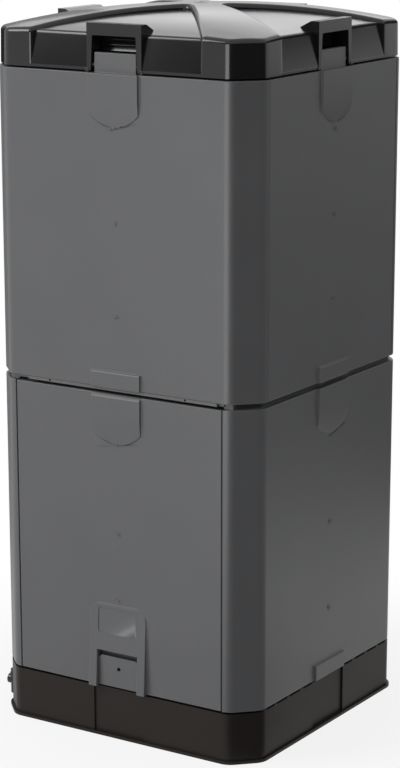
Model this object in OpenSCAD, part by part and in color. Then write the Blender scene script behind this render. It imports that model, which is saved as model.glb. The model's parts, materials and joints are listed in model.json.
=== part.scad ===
// Insulated compost bin: a two-stage square tower of double-wall panels on a
// liquid tank, with a hinged lid and two access doors. Millimetres, +Z up,
// origin on the ground under the middle of the base, front door towards -Y.

/* [Body] */
// Width across the flat panel faces
body_w = 500; // [470:5:540]
// Length of each flattened corner, measured along a side
corner_cut = 40; // [36:1:46]
// Radius that softens both edges of a flattened corner
edge_r = 26; // [18:1:30]
// Height of the panels of one stage
stage_h = 495; // [440:5:540]
// Shadow gap between the two stages
stage_gap = 9; // [8:0.5:12]

/* [Walls] */
// Whole thickness of a wall, from its face to the chamber
wall_t = 42; // [38:1:50]
// Thickness of the outer plastic shell
shell_t = 3; // [2.5:0.5:4]
// Thickness of the inner liner
liner_t = 3; // [2:0.5:4]
// Gap round the foam inside its shell
foam_gap = 0.3; // [0.2:0.1:0.6]
// Gap between two fixed panels at a corner seam
seam_gap = 0.8; // [0.4:0.1:1.5]
// How far a corner panel runs on past its flattened corner
corner_return = 11; // [8:0.5:14]
// Step from the panel face back to the tongue between the stages
tongue_step = 8; // [6:1:12]

/* [Panel face details] */
// Width of the raised boss at the middle of each panel edge
boss_w = 94; // [80:1:110]
// How far the bosses stand out
boss_out = 4.5; // [3:0.5:6]
// Length of the upper boss, down to its round end
boss_top_h = 83; // [70:1:95]
// Height of the lower boss
boss_low_h = 27; // [20:1:34]
// Distance between the moulding dots, and from the panel foot to the first
dot_pitch = 148; // [130:1:160]
// Height of the lowest moulding dot above the panel foot
dot_first = 115; // [90:1:130]

/* [Base] */
// Height of the liquid tank
base_h = 84; // [76:1:110]
// Wall of the tank
tank_wall = 5; // [4:0.5:7]
// Height of the plinth lip at the ground
plinth_h = 5; // [4:0.5:8]
// How far the plinth lip stands out
plinth_out = 4; // [2:0.5:6]
// Width of the sunk bay in the middle of each side
bay_w = 100; // [90:1:110]
// Depth of that bay
bay_depth = 3; // [2:0.5:4]
// Height of the air gap under the side panels
air_gap = 3; // [2:0.5:5]
// Thickness of the deck that carries the panels
deck_t = 8; // [6:0.5:12]

/* [Doors] */
// Gap beside a door
door_gap = 2; // [1.5:0.25:3]
// Gap between a door's foot and the base
door_foot_gap = 3.5; // [3:0.5:6]
// Height of the lintel beam over a door
lintel_h = 5; // [4:0.5:6]
// Radius of a door hinge pin
hinge_pin_r = 2.5; // [2:0.1:2.8]
// Running clearance round a hinge pin
pin_clear = 0.06; // [0.02:0.01:0.1]
// Height of the latch boss above the door's foot
latch_boss_h = 142; // [132:1:165]
// How far the latch boss stands out at its foot
latch_boss_out = 9; // [7:1:13]
// Width of the latch boss
latch_boss_w = 110; // [104:1:120]
// Width of the latch plate
latch_w = 78; // [66:1:84]
// Height of the latch plate
latch_h = 52; // [44:1:56]
// Travel of the latch plate
latch_travel = 9; // [7:0.5:10]
// Radius of the hole in the latch plate
latch_hole_r = 3.5; // [2.5:0.25:5]

/* [Lid] */
// Gap between the panels and the lid skirt
lid_gap = 3; // [3:0.5:5]
// Height of the lid skirt
skirt_h = 58; // [52:1:66]
// Height of the lid's peak above the top of the skirt
peak_h = 32; // [24:1:40]
// How far the skirt leans in between its corner blocks
skirt_lean = 9; // [6:1:14]
// Width of the catch housings on the lid
housing_w = 102; // [98:1:112]
// Height of a housing above the top of the skirt
housing_rise = 12; // [8:1:16]
// Width of the catch tab on each upper panel
tab_w = 78; // [70:1:82]
// Height of that tab
tab_h = 31; // [28:1:34]
// Thickness of that tab
tab_t = 9; // [8:0.5:10]
// Radius of the pins on the tab
tab_pin_r = 3; // [2.5:0.1:3.4]

/* [Air core] */
// Outer radius of the perforated air core
core_r = 45; // [38:1:55]
// Wall of the air core
core_wall = 3; // [2:0.5:4]

/* [Drain tap] */
// Distance of the tap's axis from the flattened corner, along the left side
tap_inset = 30; // [27:1:90]
// Height of the tap's axis
tap_z = 30; // [26:1:40]
// Radius of the tap's barrel
tap_r = 9; // [7:0.5:11]

/* [Hidden] */

half_w = body_w / 2;
shell_d = wall_t - liner_t;
chamber_half = half_w - wall_t;
block_len = corner_cut + corner_return;
seam_at = half_w - block_len;
flat_half = seam_at - seam_gap;
door_half = seam_at - door_gap;
eps = 1;

// Levels from the ground up
low_z0 = base_h + air_gap;
low_z1 = low_z0 + stage_h;
up_z0 = low_z1 + stage_gap;
up_z1 = up_z0 + stage_h;
door_z0 = base_h + door_foot_gap;
door_z1 = low_z1 - 1;
lintel_z0 = up_z0 - lintel_h;
lid_z0 = up_z1 + lid_gap;
skirt_z1 = lid_z0 + skirt_h;
peak_z = skirt_z1 + peak_h;

// Door hinge
hinge_in = 8;
hinge_y = half_w - hinge_in;
hinge_z = door_z1 - 9;
hinge_foot = hinge_z - hinge_in;
hinge_pin_in = 17;
hinge_pin_out = 5.5;
hinge_block = 12;
hinge_wall = 3;

// Lintel over a door, seated on the posts of both lower side panels
lintel_end_gap = 0.4;
lintel_recess = 6;
lintel_hole_x = door_half * 0.66;
lintel_hole_r = 1.8;
screw_r = 2.2;
screw_hole = screw_r + 0.1;
screw_x = seam_at + 8;
screw_y = half_w - wall_t / 2;
screw_len = 20;
head_r = 4.2;
head_t = 3;

// Latch plate, straddling the lip of the keeper notch in the tank rim
keeper_lip = 1.8;
keeper_slot = 5;
keeper_room = 4;
latch_fit = 0.3;
latch_front_t = 3.1;
bay_face = half_w - bay_depth;
latch_out = bay_face + latch_fit + latch_front_t;
bolt_out = bay_face - keeper_lip - latch_fit;
bolt_in = bay_face - keeper_lip - keeper_slot + latch_fit;
bolt_w = latch_w + 6;
web_half = 32;
latch_web_h = 37;
latch_room = 10;
latch_leg = 2;
boss_lip = 1.2;
boss_shoulder = 20;
latch_z0 = door_z0;
latch_z1 = latch_z0 + latch_h;
latch_corner = 7;
pocket_z1 = latch_z1 + latch_room;
pocket_in = bolt_in - latch_fit;
pocket_wall = 3;
pocket_half = bolt_w / 2 + 4;

// Lid parts
lid_in = 2;
lid_half = half_w - lid_in;
lid_wall = 3;
housing_top = skirt_z1 + housing_rise;
block_in = 98;
pocket_tip = 44;
pocket_tip_r = 14;
window_top = 16;
catch_depth = 31;
catch_in = half_w - catch_depth;
catch_rib = 2.2;
lid_fit = 0.3;
tab_out = half_w - 5;
tab_pin_y = half_w - 9;
tab_pin_z = up_z1 + 12;
tab_pin_len = 5.5;
catch_side = 3;
slot_extra = 0.6;
plug_gap = 5;
plug_h = 18;
seal_w = 6;
seal_gap = 0.2;

// Base parts
deck_z0 = base_h - deck_t;
deck_gap = 0.3;
bay_wall = 7;
bay_half = bay_w / 2 + tank_wall;
tank_in = half_w - tank_wall;
rib_at = (bay_half + seam_at) / 2;
rib_t = 6;
rib_len = 20;
grate_half = 190;
grate_ledge = 5;
grate_t = 4;
post_at = 105;
post_r = 12;
core_fit = 0.4;
core_bore = core_r - core_wall;
core_z0 = base_h + core_fit;
core_join = low_z0 + 0.9 * stage_h;
core_top = up_z1 - 0.24 * stage_h;
core_lap = 12;
cap_t = core_wall * 4 / 3;
spigot_h = 10;

// Drain tap
tap_y = half_w - corner_cut - tap_inset;
tap_face = half_w + 2;
tap_len = 25;
tap_bore = tap_r - 4;
flange_t = 4;
spout_x = tap_face + tap_len - 10;
spout_z0 = 6;
nut_t = 6;
lever_r = 3;
lever_fit = 0.3;
lever_len = 26;
lever_z = tap_r + 3 + lever_fit;

// Air slots under the side panels: start and end of the pads between them,
// measured from the middle of the side, with the wide pad in the middle
slot_edges = [54, 81, 90, 125, 132, 165, 172, 197];

// Heights of the moulding dots on corner panels, on flat panels and on doors
panel_dots = [dot_first, dot_first + dot_pitch, dot_first + 2 * dot_pitch];
flat_dots = [dot_first + 15, dot_first + 15 + 0.915 * dot_pitch, dot_first + 15 + 1.83 * dot_pitch];
door_dots = [latch_boss_h + 8, dot_first + dot_pitch, dot_first + 2 * dot_pitch];

panel_grey = "#6f7174";
foam_white = "#e9e7df";
liner_black = "#2b2b2d";
lid_black = "#242527";
base_brown = "#3a3634";
steel_grey = "#a8aaad";
seal_black = "#1d1d1f";

// Plan of the whole bin: a square with flattened, softened corners, moved
// inwards by inset on every side
module outline(inset = 0) {
  h = half_w - inset;
  r = max(edge_r - inset, 1);
  cut = corner_cut - inset * (2 - sqrt(2));
  a = h - r;
  b = a - cut + r * (2 - sqrt(2));
  n = r > 3 ? 6 : 2;
  first = [for (i = [0:n]) [b + r * sin(45 * i / n), a + r * cos(45 * i / n)]];
  quarter = concat(first, [for (i = [n:-1:0]) [first[i].y, first[i].x]]);
  polygon([for (q = [0:3]) for (p = quarter)
    [p.x * cos(90 * q) + p.y * sin(90 * q), p.y * cos(90 * q) - p.x * sin(90 * q)]]);
}

module slab(z0, z1) {
  translate([0, 0, z0]) linear_extrude(z1 - z0) children();
}

// A profile of [outwards, up] points, run along the front face
module along_front(length, points) {
  translate([-length / 2, 0, 0]) rotate([90, 0, 90])
    linear_extrude(length) polygon([for (p = points) [-p.x, p.y]]);
}

// A plan of [across, up] pushed through the front face between two depths
module through_front(out, inner) {
  translate([0, -inner, 0]) rotate([90, 0, 0]) linear_extrude(out - inner) children();
}

module block(x0, x1, y0, y1, z0, z1) {
  translate([x0, y0, z0]) cube([x1 - x0, y1 - y0, z1 - z0]);
}

// A box given by its half width and its distances in front of the middle
module front_block(half, inner, out, z0, z1) {
  block(-half, half, -out, -inner, z0, z1);
}

module both_sides() {
  children();
  mirror([1, 0, 0]) children();
}

// Panels

// Plan of a panel that carries both flattened corners
module corner_plan(g = 0, open = 0) {
  intersection() {
    outline(g);
    union() {
      translate([-half_w, -half_w]) square([body_w, shell_d + open]);
      both_sides() translate([half_w - shell_d + g, -half_w]) square([shell_d - g, block_len - g]);
    }
  }
}

// Plan of a flat panel
module flat_plan(half, g = 0, open = 0) {
  translate([-half + g, -half_w + g]) square([2 * (half - g), shell_d - g + open]);
}

// Raised boss under a panel's top edge: a ramp that ends in a shallow arc
module top_boss(z1, ease = 0) {
  arc_r = boss_w * 0.66;
  intersection() {
    along_front(boss_w, [[half_w - eps, z1], [half_w + (ease > 0 ? 0 : boss_out), z1],
      [half_w + boss_out, z1 - ease], [half_w + boss_out, z1 - boss_top_h / 2],
      [half_w, z1 - boss_top_h], [half_w - eps, z1 - boss_top_h]]);
    through_front(half_w + 2 * boss_out, half_w - 2 * eps) union() {
      translate([0, z1 - boss_top_h + arc_r]) circle(r = arc_r, $fn = 96);
      translate([-boss_w / 2, z1 - boss_top_h / 2]) square([boss_w, boss_top_h / 2 + eps]);
    }
  }
}

module low_boss(z0) {
  along_front(boss_w, [[half_w - eps, z0], [half_w + boss_out, z0],
    [half_w + boss_out, z0 + boss_low_h - 2], [half_w + boss_out - 2, z0 + boss_low_h],
    [half_w - eps, z0 + boss_low_h]]);
}

// Moulding dots on a panel's centre line, at these heights above its foot
module dots(z0, heights) {
  for (h = heights)
    translate([0, -half_w + eps, z0 + h]) rotate([90, 0, 0]) {
      cylinder(r = 2.2, h = eps + 1, $fn = 24);
      difference() {
        cylinder(r = 6, h = eps + 0.4, $fn = 32);
        translate([0, 0, -eps]) cylinder(r = 4.6, h = 4 * eps, $fn = 32);
      }
    }
}

module corner_shell(z0, z1) {
  difference() {
    slab(z0, z1) corner_plan();
    slab(z0 + shell_t, z1 - shell_t) corner_plan(shell_t, eps);
  }
  top_boss(z1);
  low_boss(z0);
  dots(z0, panel_dots);
}

module flat_shell(z0, z1, half, heights, ease = 0) {
  difference() {
    slab(z0, z1) flat_plan(half);
    slab(z0 + shell_t, z1 - shell_t) flat_plan(half, shell_t, eps);
  }
  top_boss(z1, ease);
  dots(z0, heights);
}

module corner_foam(z0, z1) {
  g = shell_t + foam_gap;
  slab(z0 + g, z1 - g) corner_plan(g, -foam_gap);
}

module flat_foam(z0, z1, half) {
  g = shell_t + foam_gap;
  slab(z0 + g, z1 - g) flat_plan(half, g, -foam_gap);
}

module liner(half, z0, z1) {
  front_block(half, chamber_half, half_w - shell_d, z0, z1);
}

// Catch tab on the top of an upper panel, with a pin at each side
module catch_tab() {
  front_block(tab_w / 2, tab_out - tab_t, tab_out, up_z1 - eps, up_z1 + tab_h);
  translate([-tab_w / 2 - tab_pin_len, -tab_pin_y, tab_pin_z]) rotate([0, 90, 0])
    cylinder(r = tab_pin_r, h = tab_w + 2 * tab_pin_len, $fn = 48);
}

module hinge_sockets() {
  socket = hinge_pin_out + 0.8;
  both_sides() translate([hinge_y, -seam_at + eps, hinge_z]) rotate([90, 0, 0])
    cylinder(r = hinge_pin_r + pin_clear, h = socket + eps, $fn = 48);
}

// Lower side panel, drawn at the front: it carries the hinge sockets of both
// doors in its ends and a tongue that the upper stage stands on
module lower_side_shell() {
  ear = 16;
  difference() {
    union() {
      corner_shell(low_z0, low_z1);
      intersection() {
        slab(low_z0, low_z1) corner_plan();
        both_sides()
          block(hinge_y - hinge_in, half_w, -seam_at - hinge_block, -seam_at, hinge_foot, low_z1);
      }
      slab(low_z1 - eps, up_z0) intersection() {
        corner_plan();
        outline(tongue_step);
        translate([-half_w, -half_w]) square([body_w, block_len - ear]);
      }
    }
    hinge_sockets();
    screw_holes(screw_hole);
  }
}

module lower_side_foam() {
  g = foam_gap;
  difference() {
    corner_foam(low_z0, low_z1);
    both_sides() block(hinge_y - hinge_in - g, half_w, -seam_at - hinge_block - g, -seam_at,
      hinge_foot - g, low_z1);
    screw_holes(screw_r + foam_gap);
  }
}

module screw_holes(r) {
  both_sides() translate([screw_y, -screw_x, low_z1 - screw_len])
    cylinder(r = r, h = screw_len + stage_gap + eps, $fn = 32);
}

module lintel() {
  end_x = seam_at - lintel_end_gap;
  difference() {
    union() {
      front_block(end_x, chamber_half, half_w, lintel_z0, up_z0);
      front_block(seam_at + 14, half_w - shell_d, half_w - tongue_step, low_z1, up_z0);
    }
    front_block(door_half, chamber_half - eps, half_w + eps, low_z1 - eps, lintel_z0);
    // dark recesses at both ends, the left one longer
    block(-end_x - eps, -end_x + 26, -half_w - eps, -half_w + lintel_recess, low_z1 - eps, up_z0 + eps);
    block(end_x - 10, end_x + eps, -half_w - eps, -half_w + lintel_recess, low_z1 - eps, up_z0 + eps);
    both_sides() translate([lintel_hole_x, -half_w - eps, up_z0 - lintel_h * 0.45]) rotate([-90, 0, 0])
      cylinder(r = lintel_hole_r, h = 14, $fn = 24);
    both_sides() translate([screw_x, -screw_y, low_z1 - eps])
      cylinder(r = screw_hole, h = 2 * stage_gap, $fn = 32);
    both_sides() translate([screw_x, -screw_y, up_z0 - head_t])
      cylinder(r = head_r + 0.4, h = head_t + eps, $fn = 32);
  }
}

module lintel_screw_pair() {
  both_sides() translate([screw_x, -screw_y, 0]) {
    translate([0, 0, low_z1 - screw_len + eps])
      cylinder(r = screw_r, h = screw_len + stage_gap - head_t, $fn = 32);
    translate([0, 0, up_z0 - head_t]) cylinder(r = head_r, h = head_t - 0.4, $fn = 32);
  }
}

// Doors

module door_shell() {
  foot = door_z0 - latch_leg;
  top = door_z0 + latch_boss_h;
  difference() {
    union() {
      flat_shell(door_z0, door_z1, door_half, door_dots, 5);
      latch_boss(foot, top);
      // walls of the latch pocket behind the skin
      front_block(pocket_half, pocket_in - pocket_wall, half_w - eps, door_z0, pocket_z1 + pocket_wall);
      // blocks that hold the hinge pins
      both_sides() block(door_half - hinge_pin_in - hinge_wall, door_half,
        -hinge_y - hinge_in, -hinge_y + hinge_in, hinge_foot, door_z1);
    }
    // latch pocket, open below, with a groove at each side for the bolt leaf
    front_block(latch_w / 2 + latch_fit, pocket_in, half_w + 2 * latch_boss_out, foot - eps, pocket_z1);
    front_block(bolt_w / 2 + latch_fit, pocket_in, bolt_out + latch_fit, foot - eps, pocket_z1);
    // shallow round-cornered panel above the latch, sunk by the same depth all over
    intersection() {
      through_front(half_w + 2 * latch_boss_out, half_w - shell_t) badge_plan();
      along_front(latch_boss_w, [[half_w + latch_boss_out - boss_lip, foot], [half_w, top],
        [half_w + 2 * latch_boss_out, top], [half_w + 2 * latch_boss_out, foot]]);
    }
    both_sides() translate([door_half - hinge_pin_in, -hinge_y, hinge_z]) rotate([0, 90, 0])
      cylinder(r = hinge_pin_r + pin_clear, h = hinge_pin_in + eps, $fn = 48);
  }
}

// Ramp over the latch, with round shoulders and a low step along its top edge
module latch_boss(foot, top) {
  s = boss_shoulder;
  intersection() {
    along_front(latch_boss_w, [[half_w - eps, door_z0], [half_w + 0.6, foot],
      [half_w + latch_boss_out, foot], [half_w + boss_lip, top], [half_w - eps, top]]);
    through_front(half_w + 2 * latch_boss_out, half_w - 2 * eps) union() {
      translate([-latch_boss_w / 2, foot - eps]) square([latch_boss_w, top - s - foot + eps]);
      translate([s - latch_boss_w / 2, foot - eps]) square([latch_boss_w - 2 * s, top - foot + 2 * eps]);
      both_sides() translate([latch_boss_w / 2 - s, top - s]) circle(r = s, $fn = 48);
    }
  }
}

// Outline of the shallow panel on the latch boss
module badge_plan() {
  w = 76;
  h = 43;
  r = 5;
  z = door_z0 + latch_boss_h - 7 - h;
  translate([-w / 2, z]) {
    translate([r, 0]) square([w - 2 * r, h]);
    translate([0, r]) square([w, h - 2 * r]);
    for (x = [r, w - r], y = [r, h - r]) translate([x, y]) circle(r = r, $fn = 32);
  }
}

module door_foam() {
  g = foam_gap;
  difference() {
    flat_foam(door_z0, door_z1, door_half);
    front_block(pocket_half + g, pocket_in - pocket_wall - g, half_w,
      door_z0 - eps, pocket_z1 + pocket_wall + g);
    both_sides() block(door_half - hinge_pin_in - hinge_wall - g, half_w, -half_w, -hinge_y + hinge_in + g,
      hinge_foot - g, door_z1);
  }
}

module door_pins() {
  both_sides() translate([door_half - hinge_pin_in + 0.2, -hinge_y, hinge_z]) rotate([0, 90, 0])
    cylinder(r = hinge_pin_r, h = hinge_pin_in + hinge_pin_out, $fn = 48);
}

// Latch plate, and the bolt leaf behind it: they straddle the keeper's lip and
// meet at the web, above the lip
module latch_plate() {
  r = latch_corner;
  x = latch_w / 2;
  arc = [for (i = [0:6]) [x - r + r * cos(15 * i), latch_z1 - r + r * sin(15 * i)]];
  mirrored = [for (i = [6:-1:0]) [-arc[i].x, arc[i].y]];
  difference() {
    through_front(latch_out, bay_face + latch_fit)
      polygon(concat([[-x, latch_z0], [x, latch_z0]], arc, mirrored));
    latch_hole();
  }
}

module latch_bolt() {
  top = latch_z1 - latch_corner;
  difference() {
    union() {
      front_block(bolt_w / 2, bolt_in, bolt_out, latch_z0, top);
      front_block(web_half, bolt_out - eps, bay_face + latch_fit, latch_z0 + latch_web_h, top);
    }
    latch_hole();
  }
}

module latch_hole() {
  translate([0, -half_w - 2 * latch_boss_out, latch_z0 + latch_h * 0.62]) rotate([-90, 0, 0])
    cylinder(r = latch_hole_r, h = 4 * latch_boss_out, $fn = 32);
}

// Lid

// Plan of one sunk triangle between two ridges of the roof, with a round tip;
// from the skirt outwards its sides run straight out, beside the corner blocks
module roof_triangle(grow = 0) {
  side_x = half_w - block_in;
  tip = pocket_tip + pocket_tip_r;
  reach = lid_half - skirt_lean - tip;
  dist = sqrt(side_x * side_x + reach * reach);
  r = pocket_tip_r + grow;
  // direction of the side, from the tip circle to the corner block
  a = atan2(side_x, reach) - asin(pocket_tip_r / dist);
  foot_x = side_x + grow;
  foot_y = -tip + r * sin(a) - (foot_x - r * cos(a)) / tan(a);
  low = -half_w - 20;
  round_tip = [for (i = [0:8]) let(t = a + (180 - 2 * a) * i / 8) [r * cos(t), r * sin(t) - tip]];
  polygon(concat(round_tip, [[-foot_x, foot_y], [-foot_x, low], [foot_x, low], [foot_x, foot_y]]));
}

module ridge_plan(grow = 0) {
  difference() {
    square(2 * half_w, center = true);
    for (q = [0:3]) rotate(90 * q) roof_triangle(grow);
  }
}

// Rise of the domed ridges, from 0 at the skirt to 1 at the peak
function dome(s) = 1 - pow(1 - s, 2.2);

// Height of the sunk triangles over the skirt: they deepen towards their tips
function sunk(s) = peak_h * (dome(s) - 0.1 - 0.22 * s);

// Low body under the sunk triangles: a leaning skirt and a shallow roof
module lid_low(t = 0, foot = 0) {
  hull() {
    slab(lid_z0 - foot, lid_z0 + 4) outline(lid_in + t);
    slab(skirt_z1 - 1 - t, skirt_z1 - t) outline(lid_in + skirt_lean + t);
    translate([0, 0, skirt_z1 + sunk(0.4) - 1 - t]) linear_extrude(1) scale(0.6) outline(lid_in + t);
    slab(skirt_z1 + sunk(0.8) - 1 - t, skirt_z1 + sunk(0.8) - t) square(2 * pocket_tip, center = true);
  }
}

// High body: upright corner blocks and the four ridges that rise to the peak
module lid_high(t = 0, foot = 0) {
  intersection() {
    hull() {
      slab(lid_z0 - foot, skirt_z1 - t) outline(lid_in + t);
      for (s = [0.25, 0.55]) translate([0, 0, skirt_z1 + peak_h * dome(s) - 1 - t])
        linear_extrude(1) scale(1 - s) outline(lid_in + t);
      slab(peak_z - 1 - t, peak_z - t) circle(r = 10, $fn = 32);
    }
    slab(lid_z0 - foot - eps, peak_z + eps) ridge_plan(t);
  }
}

module each_side() {
  for (q = [0:3]) rotate(90 * q) children();
}

module housing() {
  back = 46;
  run = 52;
  along_front(housing_w, [[lid_half, lid_z0], [lid_half, housing_top - 3], [lid_half - 3, housing_top],
    [lid_half - back, housing_top], [lid_half - back - run, skirt_z1],
    [catch_in - lid_wall, skirt_z1], [catch_in - lid_wall, lid_z0]]);
}

module catch_window(z1) {
  top_half = tab_w / 2 + catch_side - 1.5;
  foot_half = tab_w / 2 + catch_side;
  through_front(half_w + 10, catch_in)
    polygon([[-foot_half, lid_z0 - eps], [foot_half, lid_z0 - eps], [top_half, z1], [-top_half, z1]]);
}

// Fork slot over the tab pins: round at the top and open below
module fork_slots(clear) {
  len = tab_w + 2 * tab_pin_len + 2;
  translate([-len / 2, -tab_pin_y, tab_pin_z]) rotate([0, 90, 0])
    cylinder(r = tab_pin_r + clear, h = len, $fn = 48);
  block(-len / 2, len / 2, -tab_pin_y - tab_pin_r - clear, -tab_pin_y + tab_pin_r + clear,
    lid_z0 - eps, tab_pin_z);
}

module lid_shell() {
  color(lid_black) difference() {
    union() {
      difference() {
        union() {
          lid_low();
          lid_high();
        }
        lid_low(lid_wall, 5);
        lid_high(lid_wall, 5);
      }
      each_side() housing();
      translate([0, 0, peak_z - lid_wall]) cylinder(r = 12, h = lid_wall, $fn = 48);
    }
    each_side() catch_window(housing_top - window_top);
    for (q = [0, 1, 3]) rotate(90 * q) fork_slots(slot_extra);
    rotate(180) fork_slots(pin_clear);
    translate([0, 0, peak_z - 1.2]) cylinder(r = 4, h = 2, $fn = 32);
  }
  // ribs on the back wall of each catch window
  color(lid_black) each_side() for (drop = [2, 12, 22])
    translate([0, 0, housing_top - window_top - drop])
      front_block(tab_w / 2 - 6, catch_in - eps, catch_in + catch_rib, -2.4, 0);
}

module lid_core_plan(inset, side) {
  difference() {
    outline(inset);
    each_side() translate([-side, -half_w - eps])
      square([2 * side, half_w - catch_in + lid_wall + lid_fit + eps]);
  }
}

module lid_liner() {
  plug = chamber_half - plug_gap;
  t = liner_t;
  color(liner_black) difference() {
    union() {
      slab(lid_z0, lid_z0 + t) lid_core_plan(lid_in + lid_wall + lid_fit, housing_w / 2 + lid_fit);
      front_block(plug, -plug, plug, lid_z0 - plug_h, lid_z0 + t);
    }
    front_block(plug - t, -plug + t, plug - t, lid_z0 - plug_h + t, lid_z0 + t + eps);
  }
}

module lid_foam() {
  g = foam_gap;
  plug = chamber_half - plug_gap - liner_t - g;
  color(foam_white) {
    slab(lid_z0 + liner_t + g, skirt_z1 - lid_wall - g - 2)
      lid_core_plan(lid_in + skirt_lean + lid_wall + g, housing_w / 2 + g);
    front_block(plug, -plug, plug, lid_z0 - plug_h + liner_t + g, lid_z0 + liner_t + g + eps);
  }
}

module lid_seal() {
  inner = chamber_half + 1;
  out = inner + seal_w;
  color(seal_black) difference() {
    front_block(out, -out, out, up_z1 + seal_gap, lid_z0);
    front_block(inner, -inner, inner, up_z1 - eps, lid_z0 + eps);
  }
}

// Base

// Pads between the air slots under one side panel, drawn at the front
module air_pads(inner, out) {
  n = len(slot_edges);
  both_sides() {
    for (i = [1:2:n - 3])
      block(slot_edges[i], slot_edges[i + 1], -out, -inner, base_h - eps, low_z0);
    block(slot_edges[n - 1], seam_at + 6, -out, -inner, base_h - eps, low_z0);
  }
  block(-slot_edges[0], slot_edges[0], -out, -inner, base_h - eps, low_z0 - 1.2);
}

module base_tank() {
  color(base_brown) difference() {
    union() {
      difference() {
        union() {
          slab(0, base_h) outline();
          slab(0, plinth_h) outline(-plinth_out);
        }
        slab(tank_wall, base_h + eps) outline(tank_wall);
      }
      // inner walls behind the bays, with the keeper notches at their top
      each_side()
        front_block(bay_half, tank_in - bay_wall, tank_in + eps, tank_wall - eps, base_h);
      // posts under the grate
      for (x = [-post_at, post_at], y = [-post_at, post_at])
        translate([x, y, tank_wall - eps])
          cylinder(r = post_r, h = base_h - grate_t - tank_wall + eps, $fn = 32);
      // ribs under the deck's edge
      each_side() both_sides()
        block(rib_at - rib_t, rib_at, -tank_in - eps, -tank_in + rib_len, tank_wall - eps, deck_z0);
      intersection() {
        for (q = [1, 3]) rotate(90 * q) air_pads(tank_in, half_w);
        slab(0, low_z0 + eps) outline();
      }
    }
    each_side() front_block(bay_w / 2, bay_face, half_w + eps, plinth_h, base_h + eps);
    for (q = [0, 2]) rotate(90 * q)
      front_block(bolt_w / 2 + 1, tank_in - bay_wall - eps, bay_face - keeper_lip,
        base_h - latch_travel, base_h + eps);
    translate([-half_w - eps, -tap_y, tap_z]) rotate([0, 90, 0])
      cylinder(r = tap_r + 0.1, h = 3 * tank_wall, $fn = 48);
  }
}

module base_deck() {
  g = deck_gap;
  ledge = grate_half - grate_ledge;
  color(base_brown) difference() {
    union() {
      slab(deck_z0, base_h) outline(tank_wall + g);
      intersection() {
        for (q = [1, 3]) rotate(90 * q) air_pads(chamber_half, tank_in - g);
        slab(0, low_z0 + eps) outline(tank_wall + g);
      }
    }
    each_side()
      front_block(bay_half + g, tank_in - bay_wall - keeper_room, half_w, deck_z0 - eps, low_z0 + eps);
    front_block(ledge, -ledge, ledge, deck_z0 - eps, base_h + eps);
    front_block(grate_half, -grate_half, grate_half, base_h - grate_t, base_h + eps);
  }
}

module base_grate() {
  size = grate_half - 0.5;
  pitch = 26;
  row = 84;
  slot_w = 8;
  slot_l = 66;
  spigot_r = core_bore - core_fit;
  z0 = base_h - grate_t;
  color(liner_black) difference() {
    union() {
      front_block(size, -size, size, z0, base_h);
      translate([0, 0, base_h - eps]) cylinder(r = spigot_r, h = spigot_h + eps, $fn = 64);
    }
    translate([0, 0, z0 - eps]) cylinder(r = spigot_r - 3, h = grate_t + spigot_h + 2 * eps, $fn = 64);
    // slots, left out round the seat of the air core
    for (i = [-6:6], j = [-1.5, -0.5, 0.5, 1.5])
      if (abs(i) > 2 || abs(j) > 1)
        translate([i * pitch - slot_w / 2, j * row - slot_l / 2, z0 - eps])
          cube([slot_w, slot_l, grate_t + 2 * eps]);
  }
}

// Air core: two perforated tubes, the upper one on a step of the lower, and a cap
module core_tube(z0, z1) {
  pitch = 60;
  slot_w = 5;
  slot_l = 34;
  rows = floor((z1 - z0 - 40) / pitch);
  difference() {
    translate([0, 0, z0]) cylinder(r = core_r, h = z1 - z0, $fn = 64);
    translate([0, 0, z0 - eps]) cylinder(r = core_bore, h = z1 - z0 + 2 * eps, $fn = 64);
    // slots through both walls, every second row turned by half a step
    for (k = [0:rows - 1], a = [0:45:135])
      translate([0, 0, z0 + 32 + k * pitch]) rotate(a + (k % 2) * 22.5)
        cube([3 * core_r, slot_w, slot_l], center = true);
  }
}

module air_core_lower() {
  color(liner_black) {
    core_tube(core_z0, core_join);
    difference() {
      translate([0, 0, core_join - core_lap]) cylinder(r = core_bore + 0.5, h = 2 * core_lap, $fn = 64);
      translate([0, 0, core_join - core_lap - eps])
        cylinder(r = core_bore - 3, h = 2 * (core_lap + eps), $fn = 64);
    }
  }
}

module air_core_upper() {
  color(liner_black) difference() {
    core_tube(core_join + 0.2, core_top);
    translate([0, 0, core_join]) cylinder(r = core_bore + 0.8, h = core_lap + core_fit, $fn = 64);
  }
}

module air_core_cap() {
  color(liner_black) {
    translate([0, 0, core_top]) rotate_extrude($fn = 64)
      polygon([[0, 0], [core_r + 2, 0], [core_r + 2, cap_t], [core_r * 0.87, 2.2 * cap_t], [0, 3 * cap_t]]);
    translate([0, 0, core_top - 2 * cap_t])
      cylinder(r = core_bore - core_fit, h = 2 * cap_t + eps, $fn = 64);
  }
}

// Drain tap on the left side: barrel, downward spout and quarter-turn lever
module tap_place() {
  translate([0, -tap_y, tap_z]) children();
}

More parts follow.
